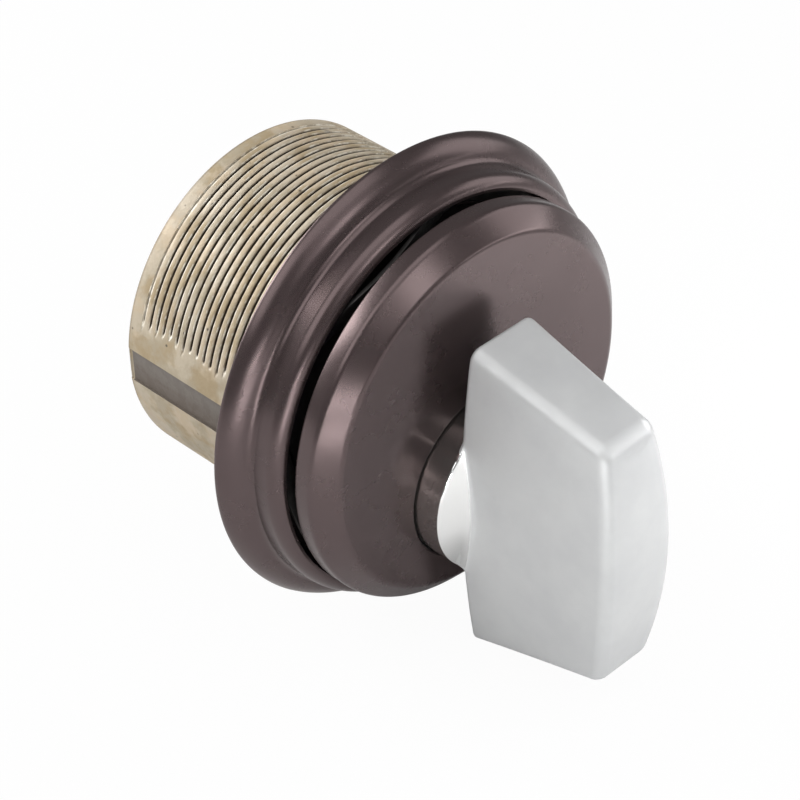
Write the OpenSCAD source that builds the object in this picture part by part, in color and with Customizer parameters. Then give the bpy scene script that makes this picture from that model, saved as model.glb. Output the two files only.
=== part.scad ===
// Eccentric thumbturn mortise cylinder with a sprung trim ring.
// Frame: the housing axis is Y. The door face, where the trim ring's foot rests, is the plane y = 0.
// The thumbturn looks toward -Y, the threaded body and the cam point toward +Y, and +Z is up.
// Inside the modules a "station" is a distance in front of the door face, so it equals -y.

/* [Housing] */
// Outside diameter of the threaded body
body_d = 29.4; // [28:0.1:30.5]
// Length of the body behind the door face
body_length = 16.4; // [14.5:0.1:24]
// How far the neck under the head is turned down
neck_relief = 0.2; // [0.16:0.01:0.4]
// Chamfer on the rear rim of the body
rim_chamfer = 0.35; // [0.1:0.05:0.6]
// Distance of the turn axis below the housing axis
turn_offset = 5.8; // [4.5:0.1:6]
// Distance from the door face to the back of the head
head_standoff = 5.6; // [5.2:0.1:7]

/* [Thread] */
// Thread pitch, 32 turns to the inch
pitch = 0.794; // [0.6:0.001:1.2]
// Depth of each thread valley
valley_depth = 0.34; // [0.15:0.01:0.5]
// Width of each thread valley at the crest
valley_width = 0.36; // [0.2:0.01:0.5]
// Plain shank between the door face and the thread
shank_length = 5.2; // [3:0.1:8]
// Plain band behind the thread
rear_band = 1.4; // [0.6:0.1:3]
// Half angle of the threaded sector on top of the body
top_thread_half = 75; // [40:1:80]
// Half angle of the threaded sector below the body
bottom_thread_half = 38; // [20:1:70]

/* [Set screw slots] */
// Width of the set screw slots on both flanks
slot_width = 3.05; // [2:0.05:4]
// Depth of the set screw slots
slot_depth = 0.35; // [0.2:0.05:2]

/* [Head and cap] */
// Outside diameter of the capped head
head_d = 34.2; // [33.2:0.1:36]
// Height of the cylindrical band round the head
head_band = 1.65; // [1:0.05:3]
// Height of the bevel round the face
bevel_height = 1.55; // [0.6:0.05:2.4]
// Width of the bevel, seen from the front
bevel_width = 1.75; // [0.6:0.05:3]
// Sheet thickness of the face cap
cap_sheet = 0.45; // [0.3:0.05:0.6]
// How far the cap is crimped in behind the flange
crimp = 0.6; // [0.3:0.05:1]

/* [Trim ring] */
// Outside diameter of the ring's foot
ring_d = 40.4; // [39.6:0.1:46]
// Height of the ring in front of the door
ring_height = 4.8; // [4.2:0.1:5]
// Height of the thin band at the ring's foot
foot_band = 0.55; // [0.3:0.05:0.9]
// Radius of the rounded shoulder
shoulder_r = 1.05; // [0.7:0.05:1.2]
// Distance of the rounded shoulder inside the edge of the foot
shoulder_inset = 0.1; // [0.05:0.05:0.4]
// Distance of the shoulder's centre below the top of the foot band
shoulder_sink = 0.2; // [0:0.05:0.3]
// Radius of the cove between shoulder and bead
cove_r = 0.8; // [0.4:0.05:1.1]
// Wall of the ring round the head
bead_wall = 1.15; // [0.9:0.05:1.3]
// Radius of the bead's crown
crown_r = 0.85; // [0.4:0.05:0.9]
// Thickness of the web that carries the spring
web = 1.8; // [1:0.1:2.2]

/* [Wave spring] */
// Thickness of the spring strip
spring_strip = 0.35; // [0.2:0.05:0.5]
// Radial width of the spring strip
spring_width = 1.6; // [1:0.1:1.8]
// Number of waves round the spring
waves = 4; // [3:1:6]
// Gap left at each side of the spring
spring_gap = 0.06; // [0.03:0.01:0.1]

/* [Thumbturn] */
// Diameter of the round boss
boss_d = 14.9; // [13.6:0.1:15.2]
// How far the boss's rim stands in front of the face
boss_proud = 2.45; // [1.5:0.05:4]
// Height of the shoulder cone on top of the boss
cone_height = 1.4; // [0.5:0.1:2.5]
// Diameter of the shoulder cone where it ends inside the blade
cone_tip_d = 6.9; // [4:0.1:8]
// Height of the blade's foot on the boss, as a share of the boss
foot_share = 0.7; // [0.5:0.05:0.75]
// Height of the blade at its back edge
blade_back_height = 29.3; // [24:0.1:34]
// Height of the blade at its front corners
blade_front_height = 23.3; // [16:0.1:24]
// Reach of the blade's crown in front of the face
blade_reach = 16.7; // [14:0.1:24]
// Gap between the face and the blade's back corners
blade_lift = 2.1; // [1.6:0.1:4]
// Blade thickness in the middle of its back edge
blade_back_t = 9.4; // [7:0.1:9.6]
// Blade thickness in the middle of its front edge
blade_front_t = 7.7; // [5:0.1:9]
// Radius of the blade's convex flanks, seen from the front
flank_r = 76; // [60:1:200]
// Radius of the convex front edge, seen from the side
crown_edge_r = 46; // [24:1:80]
// Radius of the rounded corners and edges
blade_round = 1; // [0.4:0.1:1.4]
// Radius of the corners at the ends, seen from the front
end_round = 1; // [0.5:0.1:1.6]

/* [Spindle] */
// Diameter of the front journal
front_journal_d = 9.2; // [8.6:0.1:9.6]
// Diameter of the rear journal
rear_journal_d = 12.7; // [12:0.1:13.2]
// Length of the rear journal inside the housing
rear_journal_length = 10.4; // [8:0.1:12]
// Width across the thumbturn's square tang
tang_square = 5; // [4.4:0.1:5.4]
// Length of the square tang
tang_length = 6.5; // [4:0.1:8]
// Depth of the tapped hole in the tang, as a share of the tang
tapped_share = 0.9; // [0.85:0.05:0.95]
// Depth that the centre screw reaches in the tang, as a share of the tang
grip_share = 0.8; // [0.5:0.05:0.8]
// Diameter of the centre screw
centre_screw_d = 3; // [2.4:0.1:3.2]
// Diameter of the centre screw's head
centre_head_d = 4.8; // [4.4:0.1:5]
// Height of the centre screw's head
centre_head_h = 1.6; // [1:0.1:2]
// Depth of the centre screw's head below the spindle's end
centre_sunk = 0.9; // [0.5:0.1:1.5]
// Width of the driver slot in the centre screw
centre_slot_w = 0.8; // [0.6:0.1:1]
// Thickness of the split washer under the centre screw's head
split_washer_t = 0.6; // [0.3:0.05:0.8]
// Width of the split in that washer
split_w = 0.3; // [0.2:0.05:0.6]
// Section diameter of the drag ring
drag_ring_t = 1.2; // [0.8:0.05:1.4]
// Position of the drag ring, as a share of the rear journal
drag_share = 0.45; // [0.3:0.05:0.6]
// How far the spindle stands out of the housing's rear face
spindle_proud = 0.15; // [0.05:0.05:0.4]

/* [Bushing, washer and detent] */
// Flange thickness of the turn bushing
bushing_flange = 0.4; // [0.3:0.05:0.8]
// Sleeve thickness of the turn bushing
bushing_sleeve = 0.35; // [0.3:0.05:0.6]
// Depth of the boss inside the head
boss_depth = 3.75; // [3:0.05:4.2]
// Thickness of the thrust washer
washer_t = 0.4; // [0.2:0.05:0.8]
// Diameter of the detent ball
ball_d = 1.6; // [1.2:0.1:1.7]
// Number of detent dimples under the boss
dimples = 4; // [2:1:8]
// Depth of each detent dimple
dimple_depth = 0.18; // [0.1:0.01:0.25]
// Length of the detent spring
detent_spring_length = 5; // [3:0.1:7]
// Wire diameter of the detent spring
detent_wire = 0.25; // [0.15:0.01:0.3]
// Turns of the detent spring
detent_turns = 7; // [4:1:9]

/* [Cam] */
// Thickness of the cam
cam_t = 2.4; // [1.5:0.1:4]
// Diameter of the cam's hub
cam_hub_d = 14.2; // [13.6:0.1:15]
// Distance from the turn axis to the tip of the cam's lobe
cam_reach = 16.6; // [12:0.1:19]
// Width of the cam's lobe
cam_lobe_w = 7; // [5:0.1:10]
// Diameter of the cam screws
cam_screw_d = 2.4; // [1.8:0.1:2.6]
// Length of the cam screws under the head
cam_screw_length = 7; // [5:0.5:9]
// Distance of each cam screw from the turn axis
cam_screw_offset = 4.4; // [4.2:0.05:4.6]
// Head diameter of the cam screws
cam_head_d = 4.2; // [3.4:0.1:4.6]
// Head height of the cam screws
cam_head_h = 1.3; // [0.8:0.1:2]
// Width of the driver slot in the cam screws
cam_slot_w = 0.7; // [0.5:0.1:0.9]
// Depth of the driver slots, as a share of the screw's head
slot_share = 0.5; // [0.3:0.1:0.6]

/* [Fits] */
// Radial clearance of the turning shafts
run_fit = 0.05; // [0.02:0.01:0.1]
// Axial end play of the turning pieces
end_play = 0.05; // [0.02:0.01:0.1]
// Clearance between pieces that are fixed together
set_fit = 0.03; // [0.01:0.01:0.1]
// Radial gap between the boss and the hole in the cap
face_gap = 0.17; // [0.12:0.01:0.3]
// Radial clearance of the trim ring on the body and round the head
ring_fit = 0.12; // [0.08:0.01:0.3]

/* [Hidden] */
$fn = 96;
over = 1;                       // how far a cut runs past the face it opens
hair = 0.02;                    // overlap that makes two shapes of one piece a single solid

body_r = body_d / 2;
head_r = head_d / 2;
ring_r = ring_d / 2;
boss_r = boss_d / 2;
face_hole_r = boss_r + face_gap;

// stations of the head, counted from the door face
band_top = head_standoff + head_band;
face_top = band_top + bevel_height;
flange_top = face_top - cap_sheet - set_fit;
face_r = head_r - bevel_width;
crimp_top = head_standoff + cap_sheet + set_fit;

// inside of the cap: the outline moved in by the sheet, and the flange a fit further in
function bevel_len() = sqrt(bevel_height * bevel_height + bevel_width * bevel_width);
// station at which the bevel, moved in by d, has the radius r
function bevel_station(r, d) = band_top + ((head_r - r) * bevel_height - d * bevel_len()) / bevel_width;
// radius at which the bevel, moved in by d, reaches the station s
function bevel_radius(s, d) = head_r - ((s - band_top) * bevel_width + d * bevel_len()) / bevel_height;
flange_in = cap_sheet + set_fit;

// front counterbore with its bushing, and the two journals
pocket_station = face_top - cap_sheet - boss_depth;
pocket_r = boss_r + bushing_sleeve + 2 * run_fit;
boss_back = pocket_station + bushing_flange + end_play;
sleeve_r = pocket_r - set_fit;
journal_step = body_length - rear_journal_length;
front_journal_r = front_journal_d / 2;
rear_journal_r = rear_journal_d / 2;
front_bore_r = front_journal_r + run_fit;
rear_bore_r = rear_journal_r + run_fit;
spindle_back = body_length + spindle_proud;
drag_y = journal_step + rear_journal_length * drag_share;
shoulder_back = journal_step + washer_t + end_play;

// detent: the ball rides on the back of the boss, over a ring of dimples
detent_radius = (front_bore_r + pocket_r) / 2;
ball_r = ball_d / 2;
detent_hole_r = ball_r + run_fit;
ball_station = boss_back - end_play / 2 - ball_r;
detent_spring_front = ball_station - ball_r;
detent_hole_end = detent_spring_front - detent_spring_length - end_play;

// trim ring
ring_bore_r = body_r + ring_fit;
recess_r = head_r + ring_fit;
bead_r = recess_r + bead_wall;
shoulder_at = ring_r - shoulder_r - shoulder_inset;
shoulder_station = foot_band - shoulder_sink;
shoulder_top = shoulder_station + shoulder_r;

// wave spring between web and head
strip_in = (ring_bore_r + recess_r) / 2 - spring_width / 2;
spring_span = head_standoff - web - 2 * spring_gap;

// centre screw in the spindle
centre_seat = spindle_back - centre_sunk - centre_head_h - split_washer_t;
centre_screw_r = centre_screw_d / 2;
tang_end = boss_back - tang_length;
blade_back = face_top + blade_lift;
blade_crown = face_top + blade_reach;
rim_station = face_top + boss_proud;

// ---- helpers -------------------------------------------------------------------------------

// Turns a shape built along +Z so that +Z points out of the door, toward -Y
module outward() rotate([90, 0, 0]) children();

// The same, on the turn axis
module on_turn_axis() translate([0, 0, -turn_offset]) outward() children();

// A round bar on the local Z axis between two stations
module bar(r, from, to) translate([0, 0, from]) cylinder(r = r, h = to - from);

// A ring of rectangular section between two stations
module tube(inner, outer, from, to) rotate_extrude()
    translate([inner, from]) square([outer - inner, to - from]);

// Cut for a straight driver slot in a screw head that starts at the station "from"
module driver_slot(head_across, width, from, height)
    translate([-head_across / 2 - over, -width / 2, from - over])
        cube([head_across + 2 * over, width, over + height * slot_share]);

// Closed strip swept round the Z axis: section(i) gives the corners at step i
module closed_sweep(rings, steps) {
    corners = len(rings[0]);
    polyhedron(
        points = [for (ring = rings) each ring],
        faces = [for (i = [0 : steps - 1], j = [0 : corners - 1])
            [i * corners + j, i * corners + (j + 1) % corners,
             ((i + 1) % steps) * corners + (j + 1) % corners, ((i + 1) % steps) * corners + j]]);
}

// ---- cylinder housing ----------------------------------------------------------------------

module housing_blank() rotate_extrude() polygon([
    [0, -body_length],
    [body_r - rim_chamfer, -body_length],
    [body_r, -body_length + rim_chamfer],
    [body_r, 0],
    [body_r - neck_relief, 0],
    [body_r - neck_relief, head_standoff],
    [head_r - flange_in - crimp, head_standoff],
    [head_r - flange_in - crimp, crimp_top],
    [head_r - flange_in, crimp_top],
    [head_r - flange_in, bevel_station(head_r - flange_in, flange_in)],
    [bevel_radius(flange_top, flange_in), flange_top],
    [0, flange_top]]);

// One interrupted valley of the thread, centred on the direction "middle"
module thread_valley(station, middle, half) rotate([0, 0, middle - half])
    rotate_extrude(angle = 2 * half)
        polygon([
            [body_r - valley_depth, station],
            [body_r + over, station - valley_width * (over + valley_depth) / valley_depth / 2],
            [body_r + over, station + valley_width * (over + valley_depth) / valley_depth / 2]]);

module thread_valleys() {
    first = -shank_length - pitch / 2;
    count = floor((body_length - rear_band - shank_length) / pitch);
    for (i = [0 : count - 1]) {
        thread_valley(first - i * pitch, 90, top_thread_half);
        thread_valley(first - i * pitch, 270, bottom_thread_half);
    }
}

module set_screw_slots() for (side = [-1, 1])
    translate([side * (body_r - slot_depth / 2 + over / 2), 0, -body_length / 2])
        cube([slot_depth + over, slot_width, body_length + 2 * over], center = true);

module housing_bores() translate([0, -turn_offset, 0]) {
    bar(pocket_r, pocket_station, flange_top + over);
    bar(front_bore_r, -journal_step - over, pocket_station + over);
    bar(rear_bore_r, -body_length - over, -journal_step);
    translate([0, detent_radius, 0]) bar(detent_hole_r, detent_hole_end, pocket_station + over);
}

module cylinder_housing() color("darkkhaki") outward() difference() {
    housing_blank();
    thread_valleys();
    intersection() {
        set_screw_slots();
        bar(body_r + over, -body_length - over, 0);
    }
    housing_bores();
}

// ---- face cap ------------------------------------------------------------------------------

module face_cap() color("#4b4140") outward() difference() {
    rotate_extrude() polygon([
        [head_r - flange_in - crimp + set_fit, head_standoff],
        [head_r, head_standoff],
        [head_r, band_top],
        [face_r, face_top],
        [0, face_top],
        [0, face_top - cap_sheet],
        [bevel_radius(face_top - cap_sheet, cap_sheet), face_top - cap_sheet],
        [head_r - cap_sheet, bevel_station(head_r - cap_sheet, cap_sheet)],
        [head_r - cap_sheet, head_standoff + cap_sheet],
        [head_r - flange_in - crimp + set_fit, head_standoff + cap_sheet]]);
    translate([0, -turn_offset, 0]) bar(face_hole_r, head_standoff - over, face_top + over);
}

// ---- trim ring -----------------------------------------------------------------------------

module ring_section() intersection() {
    difference() {
        union() {
            translate([ring_bore_r, 0]) square([ring_r - ring_bore_r, foot_band]);
            translate([shoulder_at, shoulder_station]) circle(r = shoulder_r);
            translate([ring_bore_r, 0]) square([shoulder_at - ring_bore_r, shoulder_top]);
            translate([recess_r, 0]) square([bead_r + cove_r - recess_r, shoulder_top + cove_r]);
            translate([recess_r, 0]) square([bead_wall, ring_height - crown_r]);
            translate([recess_r, 0]) square([bead_wall - crown_r, ring_height]);
            translate([bead_r - crown_r, ring_height - crown_r]) circle(r = crown_r);
            translate([ring_bore_r, 0]) square([recess_r - ring_bore_r + hair, web]);
        }
        translate([bead_r + cove_r, shoulder_top + cove_r]) circle(r = cove_r);
        translate([0, web]) square([recess_r, ring_height]);
    }
    translate([ring_bore_r, 0]) square([ring_r, ring_height]);
}

module trim_ring() color("#493f3f") outward() rotate_extrude() ring_section();

// ---- wave spring ---------------------------------------------------------------------------

module wave_spring() color("dimgray") outward() {
    steps = 24 * waves;
    swing = (spring_span - spring_strip) / 2;
    middle = web + spring_gap + swing;
    rings = [for (i = [0 : steps - 1])
        let (a = 360 * i / steps, low = middle + swing * sin(waves * a), high = low + spring_strip,
             inner = strip_in, outer = strip_in + spring_width)
        [[inner * cos(a), inner * sin(a), low], [outer * cos(a), outer * sin(a), low],
         [outer * cos(a), outer * sin(a), high], [inner * cos(a), inner * sin(a), high]]];
    closed_sweep(rings, steps);
}

// ---- thumbturn -----------------------------------------------------------------------------

// Side view of the blade: x is the station, y is the height
module blade_side() intersection() {
    translate([blade_crown - crown_edge_r, 0]) circle(r = crown_edge_r, $fn = 240);
    union() {
        polygon([
            [blade_back, -blade_back_height / 2],
            [blade_back, blade_back_height / 2],
            [blade_crown, blade_tip_height() / 2],
            [blade_crown, -blade_tip_height() / 2]]);
        translate([rim_station - cone_height, -boss_r * foot_share])
            square([blade_back - rim_station + cone_height + hair, boss_d * foot_share]);
    }
}
// height of the blade's straight flanks, carried on to the station of its crown
function blade_tip_height() = blade_front_height
    - (blade_back_height - blade_front_height) * crown_drop() / (blade_reach - blade_lift - crown_drop());
// how far the front corners lie behind the crown
function crown_drop() = crown_edge_r - sqrt(crown_edge_r * crown_edge_r
    - blade_front_height * blade_front_height / 4);

// Plan of the blade: x is the width, y is the station
module blade_plan() {
    front_half = blade_front_t / 2;
    hull() {
        for (side = [-1, 1]) translate([side * (front_half - blade_round), blade_crown - blade_round])
            circle(r = blade_round, $fn = 32);
        translate([-blade_back_t / 2, rim_station - cone_height])
            square([blade_back_t, blade_back - rim_station + cone_height]);
    }
}

// End view of the blade: x is the width, y is the height
module blade_end() {
    h = blade_back_height / 2 - end_round;
    w = blade_back_t / 2 - flank_r + sqrt(flank_r * flank_r - h * h) - end_round;
    square([blade_back_t, 2 * h], center = true);
    square([2 * w, blade_back_height], center = true);
    for (x = [-w, w], y = [-h, h]) translate([x, y]) circle(r = end_round, $fn = 48);
}

// Round bar whose surface is one convex flank of the blade, leaned in toward the front
module blade_flank(side) {
    lean = atan((blade_back_t - blade_front_t) / 2 / (blade_reach - blade_lift));
    translate([side * blade_back_t / 2, 0, blade_back]) rotate([0, -side * lean, 0])
        translate([-side * flank_r, 0, -blade_back])
            cylinder(r = flank_r, h = blade_crown + blade_reach, $fn = 360);
}

module blade() intersection() {
    blade_flank(1);
    blade_flank(-1);
    rotate([0, -90, 0]) linear_extrude(height = blade_back_t + over, center = true) blade_side();
    rotate([90, 0, 0]) linear_extrude(height = blade_back_height + over, center = true) blade_plan();
    linear_extrude(height = blade_crown + over) blade_end();
}

module boss() rotate_extrude() polygon([
    [0, boss_back],
    [boss_r, boss_back],
    [boss_r, rim_station],
    [cone_tip_d / 2, rim_station + cone_height],
    [0, rim_station + cone_height]]);

module thumbturn() color("lightgray") on_turn_axis() difference() {
    union() {
        blade();
        boss();
        translate([-tang_square / 2, -tang_square / 2, tang_end])
            cube([tang_square, tang_square, tang_length + hair]);
    }
    bar(centre_screw_r + run_fit, tang_end - over, tang_end + tapped_share * tang_length);
    for (i = [0 : dimples - 1]) rotate([0, 0, 90 + i * 360 / dimples])
        translate([detent_radius, 0, boss_back + dimple_depth - ball_r]) sphere(r = ball_r);
}

// ---- bushing, detent and washer ------------------------------------------------------------

module turn_bushing() color("#1b1b1d") on_turn_axis() difference() {
    union() {
        tube(front_bore_r + 2 * run_fit, sleeve_r, pocket_station, pocket_station + bushing_flange);
        tube(boss_r + run_fit, sleeve_r, pocket_station, face_top - cap_sheet - set_fit);
    }
    translate([0, detent_radius, 0])
        bar(detent_hole_r + run_fit, pocket_station - over, pocket_station + bushing_flange + over);
}

module detent_ball() color("silver") on_turn_axis()
    translate([0, detent_radius, ball_station]) sphere(r = ball_r);

module detent_spring() color("gray") on_turn_axis() {
    per_turn = 14;
    sides = 6;
    coil_r = ball_r - detent_wire / 2;
    steps = per_turn * detent_turns;
    wire_r = detent_wire / 2;
    low = detent_spring_front - detent_spring_length + detent_wire;
    rise = detent_spring_length - 2 * detent_wire;
    points = [for (i = [0 : steps], j = [0 : sides - 1])
        let (a = 360 * i / per_turn, b = 360 * j / sides, r = coil_r + wire_r * cos(b))
        [r * cos(a), r * sin(a), low + rise * i / steps + wire_r * sin(b)]];
    skin = [for (i = [0 : steps - 1], j = [0 : sides - 1])
        let (here = i * sides, ahead = here + sides, k = (j + 1) % sides)
        [here + j, ahead + j, ahead + k, here + k]];
    start_cap = [for (j = [0 : sides - 1]) j];
    end_cap = [for (j = [sides - 1 : -1 : 0]) steps * sides + j];
    translate([0, detent_radius, 0])
        polyhedron(points = points, faces = concat(skin, [start_cap, end_cap]));
}

module thrust_washer() color("peru") on_turn_axis()
    tube(front_bore_r + run_fit, rear_journal_r - run_fit, -journal_step - washer_t, -journal_step);

// ---- spindle and its screw -----------------------------------------------------------------

module spindle() color("goldenrod") on_turn_axis() difference() {
    union() {
        bar(front_journal_r, -shoulder_back - hair, boss_back);
        bar(rear_journal_r, -spindle_back, -shoulder_back);
    }
    translate([-tang_square / 2 - set_fit, -tang_square / 2 - set_fit, tang_end - set_fit])
        cube([tang_square + 2 * set_fit, tang_square + 2 * set_fit, tang_length + over]);
    bar(centre_screw_r + run_fit, -spindle_back - over, tang_end);
    bar(centre_head_d / 2 + run_fit, -spindle_back - over, -centre_seat);
    for (side = [-1, 1]) translate([side * cam_screw_offset, 0, -spindle_back])
        bar(cam_screw_d / 2 + set_fit, -over, cam_screw_length - cam_t + set_fit);
    tube(rear_journal_r - drag_ring_t + set_fit, rear_journal_r + over,
        -drag_y - drag_ring_t / 2 - set_fit, -drag_y + drag_ring_t / 2 + set_fit);
}

module drag_ring() color("#222222") on_turn_axis() rotate_extrude()
    translate([rear_journal_r - drag_ring_t / 2 + set_fit, -drag_y]) circle(r = drag_ring_t / 2 - set_fit);

module split_washer() color("gray") on_turn_axis() difference() {
    tube(centre_screw_r + run_fit, centre_head_d / 2 - run_fit,
        -centre_seat - split_washer_t, -centre_seat);
    translate([0, -split_w / 2, -centre_seat - split_washer_t - over])
        cube([centre_head_d, split_w, split_washer_t + 2 * over]);
}

module centre_screw() color("silver") on_turn_axis() {
    head_at = -centre_seat - split_washer_t;
    difference() {
        union() {
            bar(centre_screw_r, head_at - hair, tang_end + grip_share * tang_length);
            bar(centre_head_d / 2 - run_fit, head_at - centre_head_h, head_at);
        }
        driver_slot(centre_head_d, centre_slot_w, head_at - centre_head_h, centre_head_h);
    }
}

// ---- cam -----------------------------------------------------------------------------------

module cam() color("silver") on_turn_axis() difference() {
    union() {
        bar(cam_hub_d / 2, -spindle_back - cam_t, -spindle_back);
        translate([-cam_lobe_w / 2, 0, -spindle_back - cam_t])
            cube([cam_lobe_w, cam_reach - cam_lobe_w / 2, cam_t]);
        translate([0, cam_reach - cam_lobe_w / 2, 0])
            bar(cam_lobe_w / 2, -spindle_back - cam_t, -spindle_back);
    }
    bar(centre_screw_d / 2 + run_fit, -spindle_back - cam_t - over, -spindle_back + over);
    for (side = [-1, 1]) translate([side * cam_screw_offset, 0, 0])
        bar(cam_screw_d / 2 + set_fit, -spindle_back - cam_t - over, -spindle_back + over);
}

module cam_screws() color("silver") on_turn_axis()
    for (side = [-1, 1]) translate([side * cam_screw_offset, 0, -spindle_back - cam_t]) difference() {
        union() {
            bar(cam_screw_d / 2, -hair, cam_screw_length);
            bar(cam_head_d / 2, -cam_head_h, 0);
        }
        driver_slot(cam_head_d, cam_slot_w, -cam_head_h, cam_head_h);
    }

cylinder_housing();
face_cap();
trim_ring();
wave_spring();
thumbturn();
turn_bushing();
detent_ball();
detent_spring();
thrust_washer();
spindle();
drag_ring();
centre_screw();
split_washer();
cam();
cam_screws();
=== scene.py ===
"""Looks of a thumbturn mortise lock cylinder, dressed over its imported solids.

Lengths in the classes are in millimetres and become metres when a mesh or a node is made. The frame is the
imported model's own: the housing's axis is Y, the door's face is y = 0, the thumbturn looks toward -Y and +Z
is up. A station is a distance in front of the door's face, so it equals -y.
"""

import logging
import math
from dataclasses import dataclass, field
from enum import Enum
from functools import reduce
from typing import ClassVar, Sequence

import bmesh
import bpy
import numpy as np
from mathutils import Matrix, Vector

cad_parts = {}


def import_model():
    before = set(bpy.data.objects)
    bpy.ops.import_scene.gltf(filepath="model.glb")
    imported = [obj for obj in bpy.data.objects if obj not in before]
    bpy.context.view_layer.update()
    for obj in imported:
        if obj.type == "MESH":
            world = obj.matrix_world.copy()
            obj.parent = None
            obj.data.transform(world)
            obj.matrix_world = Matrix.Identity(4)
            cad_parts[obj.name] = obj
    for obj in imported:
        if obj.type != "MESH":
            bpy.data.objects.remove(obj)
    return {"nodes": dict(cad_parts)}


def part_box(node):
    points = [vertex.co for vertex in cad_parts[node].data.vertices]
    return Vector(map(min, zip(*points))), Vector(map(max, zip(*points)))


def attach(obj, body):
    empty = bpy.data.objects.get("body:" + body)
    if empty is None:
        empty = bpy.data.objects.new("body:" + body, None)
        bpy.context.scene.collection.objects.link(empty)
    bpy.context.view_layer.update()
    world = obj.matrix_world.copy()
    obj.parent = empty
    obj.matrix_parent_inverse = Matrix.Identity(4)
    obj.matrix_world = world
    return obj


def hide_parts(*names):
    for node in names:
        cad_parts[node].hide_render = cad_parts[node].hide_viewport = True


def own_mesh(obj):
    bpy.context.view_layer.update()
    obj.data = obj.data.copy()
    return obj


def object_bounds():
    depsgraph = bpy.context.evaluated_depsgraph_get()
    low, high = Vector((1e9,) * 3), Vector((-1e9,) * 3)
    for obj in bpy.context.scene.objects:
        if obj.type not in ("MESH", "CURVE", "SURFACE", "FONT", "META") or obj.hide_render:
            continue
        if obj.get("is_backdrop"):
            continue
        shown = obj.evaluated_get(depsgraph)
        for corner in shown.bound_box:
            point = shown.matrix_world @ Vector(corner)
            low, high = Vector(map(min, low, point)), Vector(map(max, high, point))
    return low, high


MM = 0.001
MICRON = MM * MM
TAU = 2 * math.pi
TURN_DROP = 5.8
CREST_R = 14.78
DETENT_RING_R = 6.275
BOSS_RIM = 11.25
BOSS_CONE = 1.4
BOSS_TIP_R = 3.45
LOG = logging.getLogger("lock_cylinder")

Socket = bpy.types.NodeSocket
Piece = bpy.types.Object
Material = bpy.types.Material
Value = float | Socket
Colour = tuple[float, float, float]
Point = tuple[float, float]


class Slot(Enum):
    """Material slots of the part's record."""

    HOUSING = "housing_brass"
    BRONZE = "dark_bronze"
    SATIN = "satin_metal"
    PLASTIC = "black_plastic"
    RUBBER = "black_rubber"
    SPRING = "spring_steel"
    BRIGHT = "bright_steel"
    CAM = "cam_steel"
    WASHER = "washer_bronze"
    SPINDLE = "spindle_brass"


class Body(Enum):
    """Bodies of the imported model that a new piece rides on."""

    HOUSING = "housing"
    RING = "ring"
    TURN = "turn"


def shade(*channels: int) -> Colour:
    """Linear colour, as shaders take it, of a display red, green and blue from 0 to 255."""
    shares = [value / 255 for value in channels]
    return tuple(s / 12.92 if s <= 0.04045 else ((s + 0.055) / 1.055) ** 2.4 for s in shares)


# ---- node trees ----


class Web:
    """Adds, sets and joins the nodes of one tree."""

    def __init__(self, tree: bpy.types.NodeTree) -> None:
        """Keeps the tree that the nodes go into."""
        self.tree = tree

    def add(self, kind: str, inputs: dict | None = None, **settings: object) -> bpy.types.Node:
        """Adds one node.

        Args:
            kind: The node's type.
            inputs: Values for its inputs, by name or number.
            settings: Values for its own properties.

        Returns:
            The new node.
        """
        node = self.tree.nodes.new(kind)
        for name, value in settings.items():
            setattr(node, name, value)
        for key, value in (inputs or {}).items():
            if isinstance(value, Socket):
                self.tree.links.new(value, node.inputs[key])
            else:
                node.inputs[key].default_value = value
        return node

    def math(self, operation: str, *values: Value) -> Socket:
        """Result of a Math node."""
        return self.add("ShaderNodeMath", dict(enumerate(values)), operation=operation).outputs[0]

    def times(self, *values: Value) -> Value:
        """Product of all values."""
        return reduce(lambda left, right: self.math("MULTIPLY", left, right), values)

    def mix(self, share: Value, first: Value, second: Value) -> Socket:
        """Mixes two values, where the share says how much of the second one counts."""
        others = self.times(first, self.math("SUBTRACT", 1.0, share))
        return self.math("ADD", others, self.times(second, share))

    def spread(self, value: Value, low: Value, high: Value, to_low: float = 0.0,
               to_high: float = 1.0) -> Socket:
        """Maps a value smoothly from the range low to high onto the range to_low to to_high."""
        inputs = {"Value": value, "From Min": low, "From Max": high, "To Min": to_low, "To Max": to_high}
        return self.add("ShaderNodeMapRange", inputs, interpolation_type="SMOOTHSTEP").outputs[0]

    def rise(self, value: Value, start: float, end: float) -> Socket:
        """Share that rises smoothly from 0 to 1 between two lengths in millimetres."""
        return self.spread(value, start * MM, end * MM)

    def blend(self, share: Value, first: Colour | Socket, second: Colour | Socket) -> Socket:
        """Mixes two colours, where the share says how much of the second one shows."""
        first, second = (c if isinstance(c, Socket) else (*c, 1.0) for c in (first, second))
        return self.add("ShaderNodeMix", {0: share, 6: first, 7: second}, data_type="RGBA").outputs[2]

    def noise(self, vector: Socket, scale: Value, detail: float = 3.0, roughness: float = 0.5) -> Socket:
        """Value of a noise texture, whose finer layers are set by detail and roughness."""
        inputs = {"Vector": vector, "Scale": scale, "Detail": detail, "Roughness": roughness}
        return self.add("ShaderNodeTexNoise", inputs).outputs[0]

    def split(self, vector: Socket) -> list[Socket]:
        """X, Y and Z of a vector."""
        return list(self.add("ShaderNodeSeparateXYZ", {0: vector}).outputs)

    def join(self, **parts: Socket) -> Socket:
        """Vector made of the given X, Y and Z, where a missing one is 0."""
        return self.add("ShaderNodeCombineXYZ", parts).outputs[0]

    def radius(self, x: Socket, z: Socket) -> Socket:
        """Distance from an axis along Y."""
        return self.add("ShaderNodeVectorMath", {0: self.join(X=x, Z=z)}, operation="LENGTH").outputs["Value"]


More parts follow.
